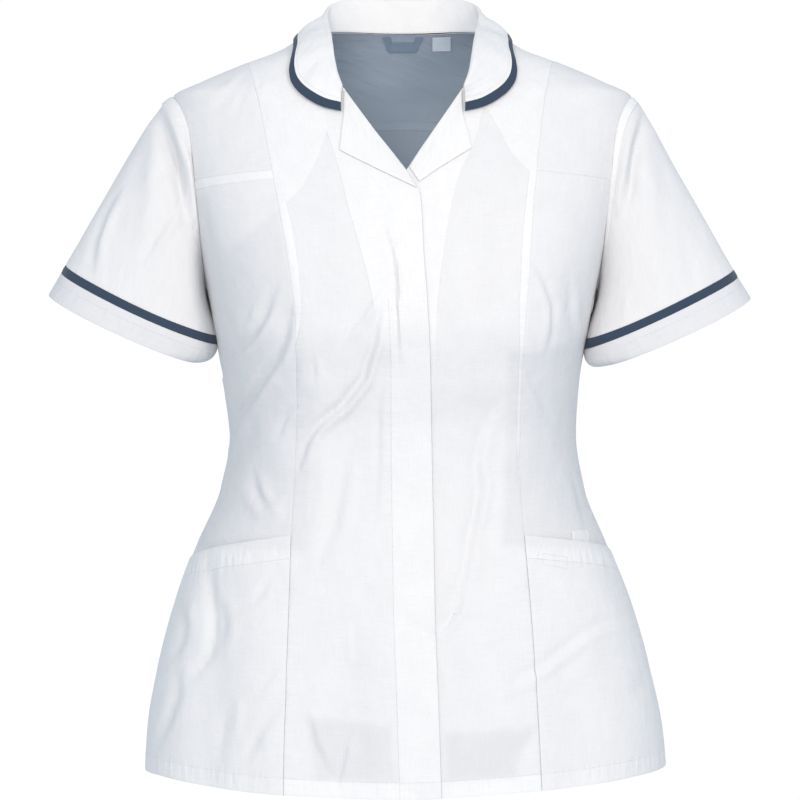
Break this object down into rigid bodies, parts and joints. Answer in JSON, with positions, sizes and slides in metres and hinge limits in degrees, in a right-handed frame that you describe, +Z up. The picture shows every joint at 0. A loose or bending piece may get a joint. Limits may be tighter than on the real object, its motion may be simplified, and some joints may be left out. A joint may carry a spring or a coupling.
{
  "type": "work tunic",
  "caption": "Short-sleeved healthcare tunic with a turned-down collar, small lapels, concealed front fastening, panel seams and lower pockets, held in its worn, open form.",
  "frame": {"origin": "between the shoulders, level with the middle of the shoulder seams and on the line between the shoulder tips, where the wearer's shoulders hold the garment", "axes": "+Z up, the front faces -Y, the wearer's right is -X"},
  "size_m": [0.6575, 0.2809, 0.7443],
  "materials": {
    "front_right": "matt",
    "front_left": "matt",
    "side_front_right": "matt",
    "side_front_left": "matt",
    "front_yoke_right": "matt",
    "front_yoke_left": "matt",
    "back": "matt",
    "back_yoke": "matt",
    "sleeve_right": "matt",
    "sleeve_left": "matt",
    "cuff_right": "matt",
    "cuff_left": "matt",
    "collar": "matt",
    "lapel_right": "matt",
    "lapel_left": "matt",
    "pocket_right": "matt",
    "pocket_left": "matt",
    "pen_pocket": "matt",
    "sleeve_trim_right": "matt",
    "sleeve_trim_left": "matt",
    "collar_trim": "matt",
    "hanger_loop": "satin",
    "size_tab": "satin"
  },
  "bodies": {
    "root": {"front_right": "front_right", "front_left": "front_left", "side_front_right": "side_front_right", "side_front_left": "side_front_left", "front_yoke_right": "front_yoke_right", "front_yoke_left": "front_yoke_left", "back": "back", "back_yoke": "back_yoke", "sleeve_right": "sleeve_right", "sleeve_left": "sleeve_left", "cuff_right": "cuff_right", "cuff_left": "cuff_left", "collar": "collar", "lapel_right": "lapel_right", "lapel_left": "lapel_left", "pocket_right": "pocket_right", "pocket_left": "pocket_left", "pen_pocket": "pen_pocket", "sleeve_trim_right": "sleeve_trim_right", "sleeve_trim_left": "sleeve_trim_left", "collar_trim": "collar_trim", "hanger_loop": "hanger_loop", "size_tab": "size_tab"}
  },
  "joints": []
}
